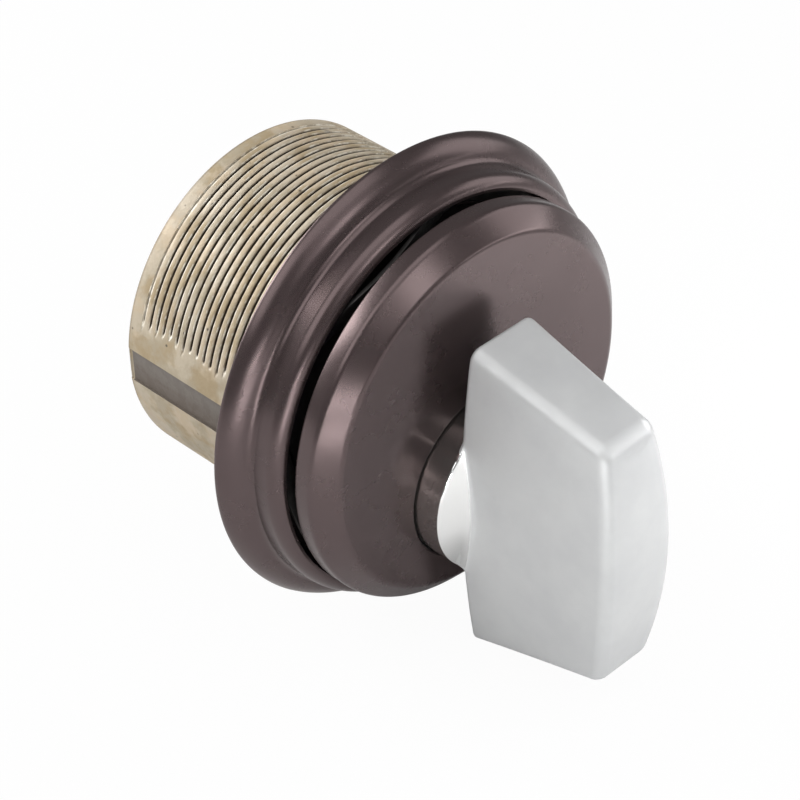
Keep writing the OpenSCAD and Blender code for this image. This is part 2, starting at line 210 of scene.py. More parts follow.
class Effect(Enum):
    """Surface effects that several finishes share."""

    MOTTLE = "Mottle"
    GRAIN = "Grain"
    PITS = "Pits"
    TURNING = "Turning lines"


class EffectGroup(Web):
    """Shader node group of one shared effect."""

    PATCH_MARGIN = 0.3
    MARGIN_LOSS = 0.25
    SPECK_EDGES = (0.32, 0.1)

    def __init__(self, effect: Effect) -> None:
        """Builds the group.

        Args:
            effect: The effect that it holds.
        """
        super().__init__(bpy.data.node_groups.new(effect.value, "ShaderNodeTree"))
        sides = self.tree.interface
        sides.new_socket("Vector", in_out="INPUT", socket_type="NodeSocketVector")
        for name in ("Scale", "Amount"):
            sides.new_socket(name, in_out="INPUT", socket_type="NodeSocketFloat")
        sides.new_socket("Value", in_out="OUTPUT", socket_type="NodeSocketFloat")
        self.vector, self.scale, self.amount = list(self.add("NodeGroupInput").outputs)[:3]
        makers = {
            Effect.MOTTLE: self._mottle,
            Effect.GRAIN: self._grain,
            Effect.PITS: self._pits,
            Effect.TURNING: self._turning,
        }
        self.add("NodeGroupOutput", {"Value": makers[effect]()})

    def _mottle(self) -> Socket:
        """Soft uneven patches, as handling and age leave them.

        Returns:
            The share of the patches.
        """
        wide = self.noise(self.vector, self.scale, 4.0, 0.6)
        margin = self.math("SUBTRACT", self.PATCH_MARGIN, self.times(self.amount, self.MARGIN_LOSS))
        return self.spread(wide, self.math("SUBTRACT", 0.5, margin), self.math("ADD", 0.5, margin))

    def _grain(self) -> Socket:
        """Fine uneven height of a cast or blasted surface."""
        return self.times(self.noise(self.vector, self.scale, 2.0), self.amount)

    def _pits(self) -> Socket:
        """Sparse small specks, where the amount sets how many cells hold one.

        Returns:
            The share of the specks.
        """
        cells = self.add("ShaderNodeTexVoronoi", {"Vector": self.vector, "Scale": self.scale}).outputs
        speck = self.spread(cells["Distance"], *self.SPECK_EDGES)
        pick = self.add("ShaderNodeSeparateColor", {0: cells["Color"]}).outputs[0]
        return self.times(speck, self.math("LESS_THAN", pick, self.amount))

    def _turning(self) -> Socket:
        """Fine rings round the housing's axis, as a lathe leaves them."""
        x, y, z = self.split(self.vector)
        return self.times(self.noise(self.join(X=self.radius(x, z), Y=y), self.scale, 2.0), self.amount)


class Surface(Web):
    """Nodes of one material, with the coordinates that it reads."""

    def __init__(self, name: str, groups: dict[Effect, EffectGroup]) -> None:
        """Starts a material.

        Args:
            name: The material's name.
            groups: The shared effects built so far.
        """
        self.material = bpy.data.materials.new(name)
        self.material.use_nodes = True
        self.material.node_tree.nodes.clear()
        super().__init__(self.material.node_tree)
        self.groups = groups
        self.place = self.add("ShaderNodeTexCoord").outputs["Object"]
        self.x, self.y, self.z = self.split(self.place)

    def effect(self, effect: Effect, size: float, amount: float) -> Socket:
        """Places a shared effect.

        Args:
            effect: Which effect to place.
            size: The size of its features.
            amount: How strong or how frequent they are.

        Returns:
            The effect's value.
        """
        if effect not in self.groups:
            self.groups[effect] = EffectGroup(effect)
        inputs = {"Vector": self.place, "Scale": 1 / (size * MM), "Amount": amount}
        return self.add("ShaderNodeGroup", inputs, node_tree=self.groups[effect].tree).outputs["Value"]

    def streaks(self, squeeze: tuple[float, float, float], size: float) -> Socket:
        """Noise of one size, stretched along the axes that are squeezed."""
        along = self.add("ShaderNodeVectorMath", {0: self.place, 1: squeeze}, operation="MULTIPLY").outputs[0]
        return self.noise(along, 1 / (size * MM), roughness=0.6)


class ShapeTree(Web):
    """Geometry Nodes tree with named number inputs, which ends as plain dressed mesh."""

    def __init__(self, name: str, sizes: dict[str, float]) -> None:
        """Builds the tree's sockets.

        Args:
            name: The tree's name.
            sizes: Values for its number inputs, by name.
        """
        super().__init__(bpy.data.node_groups.new(name, "GeometryNodeTree"))
        self.sizes = sizes
        sides = self.tree.interface
        sides.new_socket("Geometry", in_out="INPUT", socket_type="NodeSocketGeometry")
        for label in sizes:
            sides.new_socket(label, in_out="INPUT", socket_type="NodeSocketFloat")
        sides.new_socket("Geometry", in_out="OUTPUT", socket_type="NodeSocketGeometry")
        self.given = self.add("NodeGroupInput").outputs

    def run(self, piece: Piece, result: Socket, material: Material) -> None:
        """Ends the tree and runs it on a piece.

        Args:
            piece: The piece that takes the tree's result.
            result: The geometry that the tree ends with.
            material: What the result is dressed in.
        """
        real = self.add("GeometryNodeRealizeInstances", {0: result})
        dressed = self.add("GeometryNodeSetMaterial", {"Geometry": real.outputs[0], "Material": material})
        self.add("NodeGroupOutput", {0: dressed.outputs[0]})
        modifier = piece.modifiers.new(self.tree.name, "NODES")
        modifier.node_group = self.tree
        for item in self.tree.interface.items_tree:
            if item.name in self.sizes:
                modifier[item.identifier] = self.sizes[item.name]
        settle(piece)


# ---- finishes ----


@dataclass(frozen=True)
class Finish:
    """One finish: its colours, gloss and surface detail, with heights in micrometres."""

    name: str
    colour: Colour
    patch_colour: Colour
    metallic: float = 0.0
    roughness: float = 0.4
    roughness_spread: float = 0.08
    patch_size: float = 6.0
    patch_amount: float = 0.5
    grain_size: float = 0.25
    grain_height: float = 4.0
    turning_size: float = 0.12
    turning_height: float = 0.0
    pit_size: float = 1.2
    pit_share: float = 0.0
    pit_colour: Colour = (0.02, 0.02, 0.02)

    def material(self, groups: dict[Effect, EffectGroup]) -> Material:
        """Builds the material.

        Args:
            groups: The shared effects built so far.

        Returns:
            The node-based material.
        """
        web = Surface(self.name, groups)
        bump = web.add("ShaderNodeBump", {"Height": self._height(web), "Strength": 1.0, "Distance": MICRON})
        shader = web.add("ShaderNodeBsdfPrincipled", {
            "Base Color": self._colour(web),
            "Roughness": self._roughness(web),
            "Normal": bump.outputs[0],
            "Metallic": self._metallic(web),
        })
        web.add("ShaderNodeOutputMaterial", {"Surface": shader.outputs[0]})
        return web.material

    def _colour(self, web: Surface) -> Socket:
        """Base colour with patches and specks.

        Args:
            web: The material's nodes.

        Returns:
            The colour.
        """
        patches = web.effect(Effect.MOTTLE, self.patch_size, self.patch_amount)
        colour = web.blend(patches, self.colour, self.patch_colour)
        if self.pit_share:
            pits = web.effect(Effect.PITS, self.pit_size, self.pit_share)
            colour = web.blend(pits, colour, self.pit_colour)
        return colour

    def _roughness(self, web: Surface) -> Socket:
        """Roughness that wanders over the surface."""
        wander = web.effect(Effect.MOTTLE, self.patch_size / 3, self.patch_amount)
        return web.spread(wander, 0, 1, *(self.roughness + side * self.roughness_spread for side in (-1, 1)))

    def _metallic(self, web: Surface) -> Value:
        """Metal share, the same all over."""
        return self.metallic

    def _height(self, web: Surface) -> Socket:
        """Height of the grain and, on turned pieces, of the lathe's lines.

        Args:
            web: The material's nodes.

        Returns:
            The height in micrometres.
        """
        height = web.effect(Effect.GRAIN, self.grain_size, self.grain_height)
        if self.turning_height:
            lines = web.effect(Effect.TURNING, self.turning_size, self.turning_height)
            height = web.math("ADD", height, lines)
        return height


@dataclass(frozen=True)
class ThreadedBrass(Finish):
    """Cast brass with dirt and painted shade in the thread, painted highlights on the groove edges,
    a painted dark reflection in the slots and painted shade on the rear rim and the head.

    A pair of depths below the crest or of places before the rear end says where a mark starts and where
    it is full.
    """

    crest_radius: float = CREST_R
    body_length: float = 16.4
    wall_radii: Point = (13.6, 13.8)
    wall_front: Point = (0.1, 0.3)
    wall_end: Point = (0.35, 0.5)
    smudge_size: float = 2.88
    smudge_amount: float = 0.9
    smudge_share: float = 0.3
    smudge: Colour = (0.4, 0.39, 0.34)
    nick_size: float = 0.55
    nick_share: float = 0.07
    # Painted highlight along the groove edges just below the crest, broken up by noise flecks.
    highlight_depths: Point = (0.006, 0.022)
    edge_highlight: Colour = (0.84, 0.8, 0.7)
    fleck_size: float = 0.9
    fleck_range: Point = (0.42, 0.66)
    fleck_shares: Point = (0.1, 0.9)
    # Dirt and painted shade that darken the thread's valleys below the crest.
    dirt_and_shade_depths: Point = (0.09, 0.18)
    valley_dirt_and_shade: Colour = (0.045, 0.032, 0.021)
    slot_half: float = 1.54
    slot_streak: float = 0.35
    streak_squeeze: tuple[float, float, float] = (1.0, 0.05, 1.0)
    # Painted dark reflection in the slots, lighter at the top and darker at the bottom.
    slot_reflection_top: Colour = (0.155, 0.135, 0.118)
    slot_reflection_bottom: Colour = (0.115, 0.093, 0.076)
    # Painted shade on the rear rim's rounding, which dims its highlight.
    rim_end: Point = (0.42, 0.22)
    rim_depths: Point = (0.5, 0.3)
    rim_shade: float = 0.5
    # Near-black painted shade on the head and neck in front of the door's face, seen through the collar's
    # gap.
    head_front: Point = (0.05, -0.1)
    head_shade: Colour = (0.012, 0.01, 0.009)

    def _colour(self, web: Surface) -> Socket:
        """Base colour with smudges, nicks, painted edge highlights, dirt and painted shade in the valleys,
        a painted dark reflection in the slots and painted shade on the rim and the head.

        Args:
            web: The material's nodes.

        Returns:
            The colour.
        """
        radius = web.radius(web.x, web.z)
        end, crest = self.body_length, self.crest_radius
        wall = web.times(web.rise(radius, *self.wall_radii), web.rise(web.y, *self.wall_front),
                         web.rise(web.y, *(end - before for before in self.wall_end)))
        edge_highlight_mask = web.rise(radius, *(crest - depth for depth in self.highlight_depths))
        dirt_and_shade_mask = web.rise(radius, *(crest - depth for depth in self.dirt_and_shade_depths))
        specks = web.noise(web.place, 1 / (self.fleck_size * MM), roughness=0.6)
        flecks = web.spread(specks, *self.fleck_range, *self.fleck_shares)
        in_slot = web.math("LESS_THAN", web.math("ABSOLUTE", web.z), self.slot_half * MM)
        rim = web.times(web.rise(web.y, *(end - before for before in self.rim_end)),
                        web.rise(radius, *(crest - depth for depth in self.rim_depths)))
        layers = (
            (web.times(web.effect(Effect.MOTTLE, self.smudge_size, self.smudge_amount), self.smudge_share),
             self.smudge),
            (web.times(web.effect(Effect.PITS, self.nick_size, self.nick_share), wall), self.pit_colour),
            # painted highlight on the groove edges
            (web.times(edge_highlight_mask, flecks, wall), self.edge_highlight),
            # dirt and painted shade in the valleys
            (web.times(dirt_and_shade_mask, wall), self.valley_dirt_and_shade),
            # painted dark reflection in the slots
            (web.times(in_slot, wall), self._slot_reflection(web)),
            # painted shade on the rear rim
            (web.times(rim, self.rim_shade), self.pit_colour),
            # painted shade on the head
            (web.rise(web.y, *self.head_front), self.head_shade),
        )
        colour = super()._colour(web)
        for share, over in layers:
            colour = web.blend(share, colour, over)
        return colour

    def _slot_reflection(self, web: Surface) -> Socket:
        """Painted dark reflection in the slots, streaked and darker towards the bottom.

        Args:
            web: The material's nodes.

        Returns:
            The colour.
        """
        half = self.slot_half * MM
        streaks = web.streaks(self.streak_squeeze, self.slot_streak)
        height = web.spread(web.math("ADD", web.z, web.times(streaks, half)), 0.0, half)
        return web.blend(height, self.slot_reflection_bottom, self.slot_reflection_top)


@dataclass(frozen=True)
class PlatedCasting(Finish):
    """Satin plating with a turned and polished boss, whose side carries a painted dark reflection."""

    drop: float = TURN_DROP
    boss_radius: float = 7.5
    boss_margin: float = 0.05
    rim: float = BOSS_RIM
    rim_margins: Point = (0.05, 0.15)
    tip_radius: float = BOSS_TIP_R
    cone_height: float = BOSS_CONE
    cone_margins: Point = (0.16, 0.06)
    polish_colour: Colour = (0.9, 0.9, 0.89)
    polish_metallic: float = 0.95
    polish_roughness: float = 0.12
    # Painted dark reflection on the boss's side band.
    side_dark_reflection: Colour = (0.5, 0.48, 0.46)
    streak_size: float = 0.25
    streak_squeeze: tuple[float, float, float] = (0.02, 1.0, 0.02)
    streak_height: float = 3.0

    def _polish(self, web: Surface) -> Socket:
        """Mask of the boss and its shoulder, found from their distance to the turn axis.

        Args:
            web: The material's nodes.

        Returns:
            The share of the polish.
        """
        radius = web.radius(web.x, web.math("ADD", web.z, self.drop * MM))
        slope = self.cone_height / (self.boss_radius - self.tip_radius)
        climb = web.times(web.math("SUBTRACT", self.boss_radius * MM, radius), slope)
        surface = web.math("ADD", self.rim * MM, climb)
        below = web.rise(web.math("SUBTRACT", web.times(web.y, -1.0), surface), *self.cone_margins)
        return web.times(below, web.math("LESS_THAN", radius, (self.boss_radius + self.boss_margin) * MM))

    def _colour(self, web: Surface) -> Socket:
        """Plating colour, brighter on the polished boss, with a painted dark reflection on its side."""
        side = web.rise(web.y, *(margin - self.rim for margin in self.rim_margins))
        boss = web.blend(side, self.polish_colour, self.side_dark_reflection)
        return web.blend(self._polish(web), super()._colour(web), boss)

    def _metallic(self, web: Surface) -> Value:
        """Metal share, higher on the polished boss."""
        return web.spread(self._polish(web), 0.0, 1.0, self.metallic, self.polish_metallic)

    def _roughness(self, web: Surface) -> Socket:
        """Roughness, lower on the polished boss."""
        return web.mix(self._polish(web), super()._roughness(web), self.polish_roughness)

    def _height(self, web: Surface) -> Socket:
        """Height of the casting's grain, and of the lathe's rings on the boss."""
        rings = web.times(web.streaks(self.streak_squeeze, self.streak_size), self.streak_height)
        return web.mix(self._polish(web), super()._height(web), rings)


class Finishes:
    """All finishes of the lock cylinder, each material built once."""

    SPECS: dict[Slot, Finish] = {
        Slot.HOUSING: ThreadedBrass(
            "Cast housing brass", shade(181, 165, 141), shade(158, 141, 112), metallic=0.15, roughness=0.62,
            patch_size=3.6, patch_amount=0.9, grain_size=0.3, grain_height=26.0, pit_size=1.4, pit_share=0.05,
            pit_colour=shade(90, 80, 66)),
        Slot.BRONZE: Finish(
            "Dark anodised bronze", shade(98, 85, 85), shade(92, 79, 79), metallic=0.8, roughness=0.27,
            roughness_spread=0.008, patch_size=12.0, patch_amount=0.2, grain_size=0.3, grain_height=0.06,
            turning_size=0.4, turning_height=0.25),
        Slot.SATIN: PlatedCasting(
            "Satin plated casting", shade(210, 211, 211), shade(202, 203, 204), metallic=0.35,
            roughness=0.45, roughness_spread=0.04, patch_size=7.0, patch_amount=0.3, grain_size=0.3,
            grain_height=2.0, pit_size=2.6, pit_share=0.012, pit_colour=shade(120, 118, 114)),
        Slot.PLASTIC: Finish(
            "Black moulded plastic", shade(22, 22, 24), shade(30, 30, 31), roughness=0.55, grain_height=3.0),
        Slot.RUBBER: Finish(
            "Black rubber", shade(20, 20, 20), shade(28, 28, 28), roughness=0.7, grain_height=5.0),
        # Dark spring steel, darkened further as painted shade so the wave spring stays black in the collar's
        # gap; the split washer and detent spring share it.
        Slot.SPRING: Finish(
            "Spring steel darkened as painted shade", shade(66, 64, 63), shade(50, 48, 47), metallic=0.8, roughness=0.5,
            patch_size=1.5, grain_size=0.08, grain_height=0.8),
        Slot.BRIGHT: Finish(
            "Bright turned steel", shade(190, 191, 194), shade(172, 172, 174), metallic=0.95, roughness=0.25,
            patch_size=2.0, grain_size=0.08, grain_height=0.8),
        Slot.CAM: Finish(
            "Stamped zinc plate", shade(186, 184, 174), shade(162, 158, 142), metallic=0.85, roughness=0.36,
            patch_size=3.0, patch_amount=0.7, grain_size=0.2, grain_height=2.0, pit_size=1.8, pit_share=0.05,
            pit_colour=shade(110, 105, 92)),
        Slot.WASHER: Finish(
            "Rolled bronze", shade(186, 130, 84), shade(150, 100, 62), metallic=0.9, roughness=0.35),
        Slot.SPINDLE: Finish(
            "Turned spindle brass", shade(196, 164, 96), shade(170, 138, 78), metallic=0.9, roughness=0.3,
            patch_size=3.0, grain_size=0.15, grain_height=1.5, pit_size=1.5, pit_share=0.03),
    }

    def __init__(self) -> None:
        """Starts with no material and no shared effect built."""
        self.groups: dict[Effect, EffectGroup] = {}
        self.made: dict[Slot, Material] = {}

    def material(self, slot: Slot) -> Material:
        """Material of one slot, built when it is first needed.

        Args:
            slot: The record's slot.

        Returns:
            Its material.
        """
        if slot not in self.made:
            self.made[slot] = self.SPECS[slot].material(self.groups)
        return self.made[slot]


# ---- mesh making ----

BLOCK_FACES = ((0, 1, 3, 2), (4, 6, 7, 5), (0, 4, 5, 1), (2, 3, 7, 6), (0, 2, 6, 4), (1, 5, 7, 3))


def rings(outline: Sequence[Point], count: int, drop: float = 0.0) -> list[np.ndarray]:
    """Makes a loop of points round the housing's axis, or round a parallel one, for each outline point.

    Args:
        outline: Radius and station of each loop.
        count: How many points each loop has.
        drop: How far the axis lies below the housing's.

    Returns:
        The loops, with one row of x, y, z for each point.
    """
    angle = np.arange(count) * TAU / count
    return [np.c_[radius * np.cos(angle), np.full(count, -station), radius * np.sin(angle) - drop]
            for radius, station in outline]


def arc(centre: Point, radius: float, start: float, end: float, steps: int) -> list[Point]:
    """Points of radius and station along an arc, which starts and ends at two angles in degrees."""
    angles = [math.radians(start + (end - start) * i / steps) for i in range(steps + 1)]
    return [(centre[0] + radius * math.cos(a), centre[1] + radius * math.sin(a)) for a in angles]


def rounded(corner: Point, before: Point, after: Point, radius: float, steps: int = 6) -> list[Point]:
    """Replaces a corner of an outline with a curve that touches both sides.

    Args:
        corner: The corner.
        before: A point on the side before it.
        after: A point on the side after it.
        radius: The distance from the corner to where the curve starts and ends.
        steps: How many spans the curve has.

    Returns:
        The curve's points.
    """
    here, first, last = Vector(corner), Vector(before), Vector(after)
    start = here + (first - here).normalized() * radius
    end = here + (last - here).normalized() * radius
    shares = [i / steps for i in range(steps + 1)]
    return [tuple(start * (1 - t) ** 2 + here * 2 * t * (1 - t) + end * t ** 2) for t in shares]


def skin(loops: Sequence[np.ndarray], closed: bool) -> tuple[np.ndarray, list[tuple[int, ...]]]:
    """Joins loops of equal length into a skin of four-sided faces.

    Args:
        loops: The loops in order.
        closed: Whether the last loop joins the first.

    Returns:
        The points and the faces.
    """
    count, rows = len(loops[0]), len(loops)
    faces = []
    for i in range(rows if closed else rows - 1):
        here, ahead = i * count, (i + 1) % rows * count
        faces += [(here + j, here + (j + 1) % count, ahead + (j + 1) % count, ahead + j)
                  for j in range(count)]
    return np.concatenate(loops), faces


def new_object(name: str, points: np.ndarray, faces: Sequence[Sequence[int]],
               values: dict[str, np.ndarray] | None = None) -> Piece:
    """Makes a mesh object with merged points and outward faces.

    Args:
        name: The object's name.
        points: Its points in millimetres.
        faces: Its faces.
        values: Numbers kept on the points, by attribute name.

    Returns:
        The object, linked to the scene.
    """
    mesh = bpy.data.meshes.new(name)
    mesh.from_pydata((np.asarray(points) * MM).tolist(), [], list(faces))
    for key, numbers in (values or {}).items():
        mesh.attributes.new(key, "FLOAT", "POINT").data.foreach_set("value", numbers)
    shape = bmesh.new()
    shape.from_mesh(mesh)
    bmesh.ops.remove_doubles(shape, verts=shape.verts, dist=MICRON)
    bmesh.ops.recalc_face_normals(shape, faces=shape.faces)
    shape.to_mesh(mesh)
    shape.free()
    piece = bpy.data.objects.new(name, mesh)
    bpy.context.scene.collection.objects.link(piece)
    return piece


def turned(name: str, outline: Sequence[Point], columns: int, drop: float = 0.0,
           closed: bool = False) -> Piece:
    """Makes the object of an outline that is turned round the housing's axis or one that lies below it."""
    return new_object(name, *skin(rings(outline, columns, drop), closed))


def block(name: str, x: Point, y: Point, z: Point) -> Piece:
    """Makes a rectangular block between two values on each axis."""
    corners = np.array([(i, j, k) for i in x for j in y for k in z])
    return new_object(name, corners, BLOCK_FACES)


def settle(piece: Piece) -> None:
    """Turns a piece's modifiers into plain mesh.

    Args:
        piece: The piece to settle.
    """
    bpy.context.view_layer.update()
    evaluated = piece.evaluated_get(bpy.context.evaluated_depsgraph_get())
    mesh = bpy.data.meshes.new_from_object(evaluated)
    piece.modifiers.clear()
    piece.data = mesh


def combine(piece: Piece, tool: Piece, operation: str) -> None:
    """Cuts a tool out of a piece or joins the two, and removes the tool.

    Args:
        piece: The piece that stays.
        tool: The closed mesh that is cut out or joined.
        operation: DIFFERENCE or UNION.
    """
    modifier = piece.modifiers.new("combine", "BOOLEAN")
    modifier.operation = operation
    modifier.solver = "MANIFOLD"
    modifier.object = tool
    settle(piece)
    bpy.data.objects.remove(tool)


def smooth(piece: Piece, degrees: float) -> Piece:
    """Shades a piece smooth, apart from edges sharper than an angle.

    Args:
        piece: The piece to shade.
        degrees: The angle above which an edge stays sharp.

    Returns:
        The same piece.
    """
    piece.data.shade_smooth()
    piece.data.set_sharp_from_angle(angle=math.radians(degrees))
    return piece


# ---- sub-assemblies ----


@dataclass
class Assembly:
    """A sub-assembly: a new piece that takes a finish, moves with a body and stands for a CAD node."""

    SLOT: ClassVar[Slot]
    BODY: ClassVar[Body]
    NODE: ClassVar[str]
    finishes: Finishes

    def build(self) -> Piece:
        """Builds the piece, each sub-assembly in its own way."""
        raise NotImplementedError

    def dress(self) -> None:
        """Builds the piece, dresses it in its finish and makes it ride on its body."""
        piece = self.build()
        piece.data.materials.clear()
        piece.data.materials.append(self.finishes.material(self.SLOT))
        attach(piece, self.BODY.value)
        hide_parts(self.NODE)
        LOG.info("%s: %d faces, stands for %s", piece.name, len(piece.data.polygons), self.NODE)


# ---- threaded housing ----


@dataclass
class Housing(Assembly):
    """Threaded brass body with its head flange, off-centre bores and set screw slots."""

    SLOT, BODY, NODE = Slot.HOUSING, Body.HOUSING, "cylinder_housing"
    body_length: float
    body_r: float = CREST_R
    turn_drop: float = TURN_DROP
    rim_round: float = 0.35
    pitch: float = 0.794
    valley_width: float = 0.27
    valley_depth: float = 0.3
    thread_start: float = 4.0
    thread_turns: int = 14
    first_turn: float = 0.45
    neck_relief: float = 0.2
    flange_r: float = 16.62
    flange_back: float = 5.6
    flange_front: float = 8.32
    flange_edge: Point = (1.2, 1.0)
    pocket_r: float = 7.9
    pocket_station: float = 4.6
    front_bore_r: float = 4.65
    rear_bore_r: float = 6.4
    bore_step: float = 6.0
    bore_edge: float = 0.2
    detent_radius: float = DETENT_RING_R
    detent_hole_r: float = 0.85
    detent_hole: Point = (-1.65, 5.5)
    slot_width: float = 3.05
    slot_depth: float = 0.25
    top_half: float = 75.0
    bottom_half: float = 38.0
    fade: float = 4.0
    ragged_ends: float = 2.4
    ragged_scale: float = 1100.0
    ragged_swing: float = 4.0
    rough_crests: float = 0.018
    rough_scale: float = 1600.0
    rough_middle: float = 0.35
    rough_rows: Point = (0.01, 0.2)
    cut_past: float = 1.0
    columns: int = 480

    def build(self) -> Piece:
        """Builds the whole casting.

        Returns:
            The finished mesh object.
        """
        loops, depths = self._loops()
        grooves = {"groove": np.repeat(depths, self.columns)}
        piece = new_object("threaded_housing", *skin(loops, closed=True), grooves)
        self._cut_thread(piece)
        half, end = self.slot_width / 2, self.body_length + self.cut_past
        for side in (-1, 1):
            walls = (side * (self.body_r - self.slot_depth), side * (self.body_r + self.cut_past))
            combine(piece, block("slot_tool", walls, (0.0, end), (-half, half)), "DIFFERENCE")
        radius, (rear, front) = self.detent_hole_r, self.detent_hole
        pin = [(0.0, rear), (radius, rear), (radius, front), (0.0, front)]
        drill = turned("detent_tool", pin, 32, self.turn_drop - self.detent_radius)
        combine(piece, drill, "DIFFERENCE")
        return smooth(piece, 32)

    def _loops(self) -> tuple[list[np.ndarray], list[float]]:
        """Lays out the loops from the rear bore over the outside to the front and back through the bores.

        Returns:
            The loops, and each loop's share of the thread's depth.
        """
        count, rear, front = self.columns, -self.body_length, self.flange_front
        neck_r = self.body_r - self.neck_relief
        edge_in, edge_back = self.flange_edge
        outline = rounded((self.body_r, rear), (0, rear), (self.body_r, 0), self.rim_round)
        thread = self._thread_rows()
        head = [(self.body_r, 0.0), (neck_r, 0.0), (neck_r, self.flange_back),
                (self.flange_r, self.flange_back), (self.flange_r, front - edge_back),
                (self.flange_r - edge_in, front)]
        bores = [(self.pocket_r, front), (self.pocket_r, self.pocket_station),
                 (self.front_bore_r, self.pocket_station), (self.front_bore_r, -self.bore_step),
                 (self.rear_bore_r, -self.bore_step), (self.rear_bore_r, rear + self.bore_edge),
                 (self.rear_bore_r + self.bore_edge, rear)]
        loops = rings(outline, count) + [self._sheared(station) for station, _ in thread]
        loops += rings(head, count) + rings(bores, count, self.turn_drop)
        return loops, [0.0] * len(outline) + [depth for _, depth in thread] + [0.0] * len(head + bores)

    def _thread_rows(self) -> list[tuple[float, float]]:
        """Lays out the rows of points over the thread, from the rear to the front.

        Returns:
            The station and the depth share of each row.
        """
        half = self.valley_width / 2
        section = [(-1.5 * half, 0.0), (-half, 0.1), (-0.75 * half, 1.0), (0.0, 1.0), (half, 0.25),
                   (2.0 * half, 0.0)]
        rows = []
        for turn in range(self.thread_turns, -1, -1):
            middle = -self.thread_start - turn * self.pitch
            share = self.first_turn if turn == self.thread_turns else 1.0
            rows += [(middle + offset, depth * share) for offset, depth in section]
        return rows

    def _sheared(self, station: float) -> np.ndarray:
        """Makes a loop over the thread, which climbs by the pitch in a turn and drops back over plain land.

        Args:
            station: Where the loop starts.

        Returns:
            The loop's points.
        """
        loop, = rings([(self.body_r, station)], self.columns)
        angle = np.degrees(np.arctan2(loop[:, 2], loop[:, 0])) % 360
        start = 90 - self.top_half
        end = 270 + self.bottom_half
        back = (angle - end) % 360 / ((start - end) % 360)
        climb = np.where((angle >= start) & (angle <= end), (angle - start) / 360,
                         (end - start) / 360 * (1 - np.clip(back, 0, 1)))
        loop[:, 1] -= self.pitch * climb
        return loop

    def _cut_thread(self, piece: Piece) -> None:
        """Sinks the marked rows into valleys that run out at the ends of each threaded sector.

        Args:
            piece: The casting, whose points carry the groove attribute.
        """
        web = ShapeTree("Thread cutter", {
            "Depth": self.valley_depth * MM,
            "Top half angle": math.radians(self.top_half),
            "Bottom half angle": math.radians(self.bottom_half),
            "Fade angle": math.radians(self.fade),
            "Ragged ends": math.radians(self.ragged_ends),
            "Rough crests": self.rough_crests * MM,
        })
        given = web.given
        position = web.add("GeometryNodeInputPosition").outputs[0]
        x, _, z = web.split(position)
        angle = web.math("ARCTAN2", z, x)
        ragged = web.times(web.math("SUBTRACT", web.noise(position, self.ragged_scale), 0.5),
                           web.times(given["Ragged ends"], self.ragged_swing))
        masks = []
        for middle, half in ((TAU / 4, given["Top half angle"]), (-TAU / 4, given["Bottom half angle"])):
            away = web.math("ADD", web.math("ABSOLUTE", web.math("SUBTRACT", angle, middle)), ragged)
            masks.append(web.spread(away, half, web.math("SUBTRACT", half, given["Fade angle"])))
        sector = web.math("MAXIMUM", *masks)
        groove = web.add("GeometryNodeInputNamedAttribute", {"Name": "groove"}, data_type="FLOAT").outputs[0]
        sink = web.times(groove, sector, given["Depth"])
        rough = web.times(web.math("SUBTRACT", web.noise(position, self.rough_scale), self.rough_middle),
                          web.times(web.spread(groove, *self.rough_rows), sector, given["Rough crests"]))
        inward = web.times(web.math("ADD", sink, rough), -1.0)
        radial = web.add("ShaderNodeVectorMath", {0: web.join(X=x, Z=z)}, operation="NORMALIZE").outputs[0]
        offset = web.add("ShaderNodeVectorMath", {0: radial, "Scale": inward}, operation="SCALE").outputs[0]
        moved = web.add("GeometryNodeSetPosition", {"Geometry": given["Geometry"], "Offset": offset})
        web.run(piece, moved.outputs[0], self.finishes.material(self.SLOT))


# ---- face, collar and wave spring ----


@dataclass
class Face(Assembly):
    """Dark sheet cap, crimped round the head, with its off-centre hole."""

    SLOT, BODY, NODE = Slot.BRONZE, Body.HOUSING, "face_cap"
    head_r: float
    front: float
    back: float
    band: float = 1.65
    bevel_width: float = 1.75
    sheet: float = 0.45
    crimp_r: float = 16.05
    crimp_round: float = 0.25
    hole_r: float = 7.62
    turn_drop: float = TURN_DROP
    bevel_round: float = 0.36
    band_round: float = 0.34
    hole_round: float = 0.15
    inner_bevel: Point = (0.15, 0.1)
    columns: int = 288

    def build(self) -> Piece:
        """Builds the cap.

        Returns:
            The finished mesh object.
        """
        front, back, head_r = self.front, self.back, self.head_r
        top, face_r = back + self.band, head_r - self.bevel_width
        outside = [(self.crimp_r, back)]
        outside += rounded((head_r, back), (0, back), (head_r, top), self.crimp_round, 4)
        outside += rounded((head_r, top), (head_r, back), (face_r, front), self.band_round)
        outside += rounded((face_r, front), (head_r, top), (0, front), self.bevel_round, 10)
        inner_r, inner_front = head_r - self.sheet, front - self.sheet
        bevel_in, bevel_back = self.inner_bevel
        inside = [(face_r - bevel_in, inner_front), (inner_r, top - bevel_back), (inner_r, back + self.sheet),
                  (self.crimp_r, back + self.sheet)]
        hole_r = self.hole_r
        hole = rounded((hole_r, front), (hole_r + 1, front), (hole_r, back), self.hole_round, 4)
        hole.append((hole_r, inner_front))
        loops = rings(outside, self.columns) + rings(hole, self.columns, self.turn_drop)
        loops += rings(inside, self.columns)
        return smooth(new_object("crimped_face", *skin(loops, closed=True)), 38)


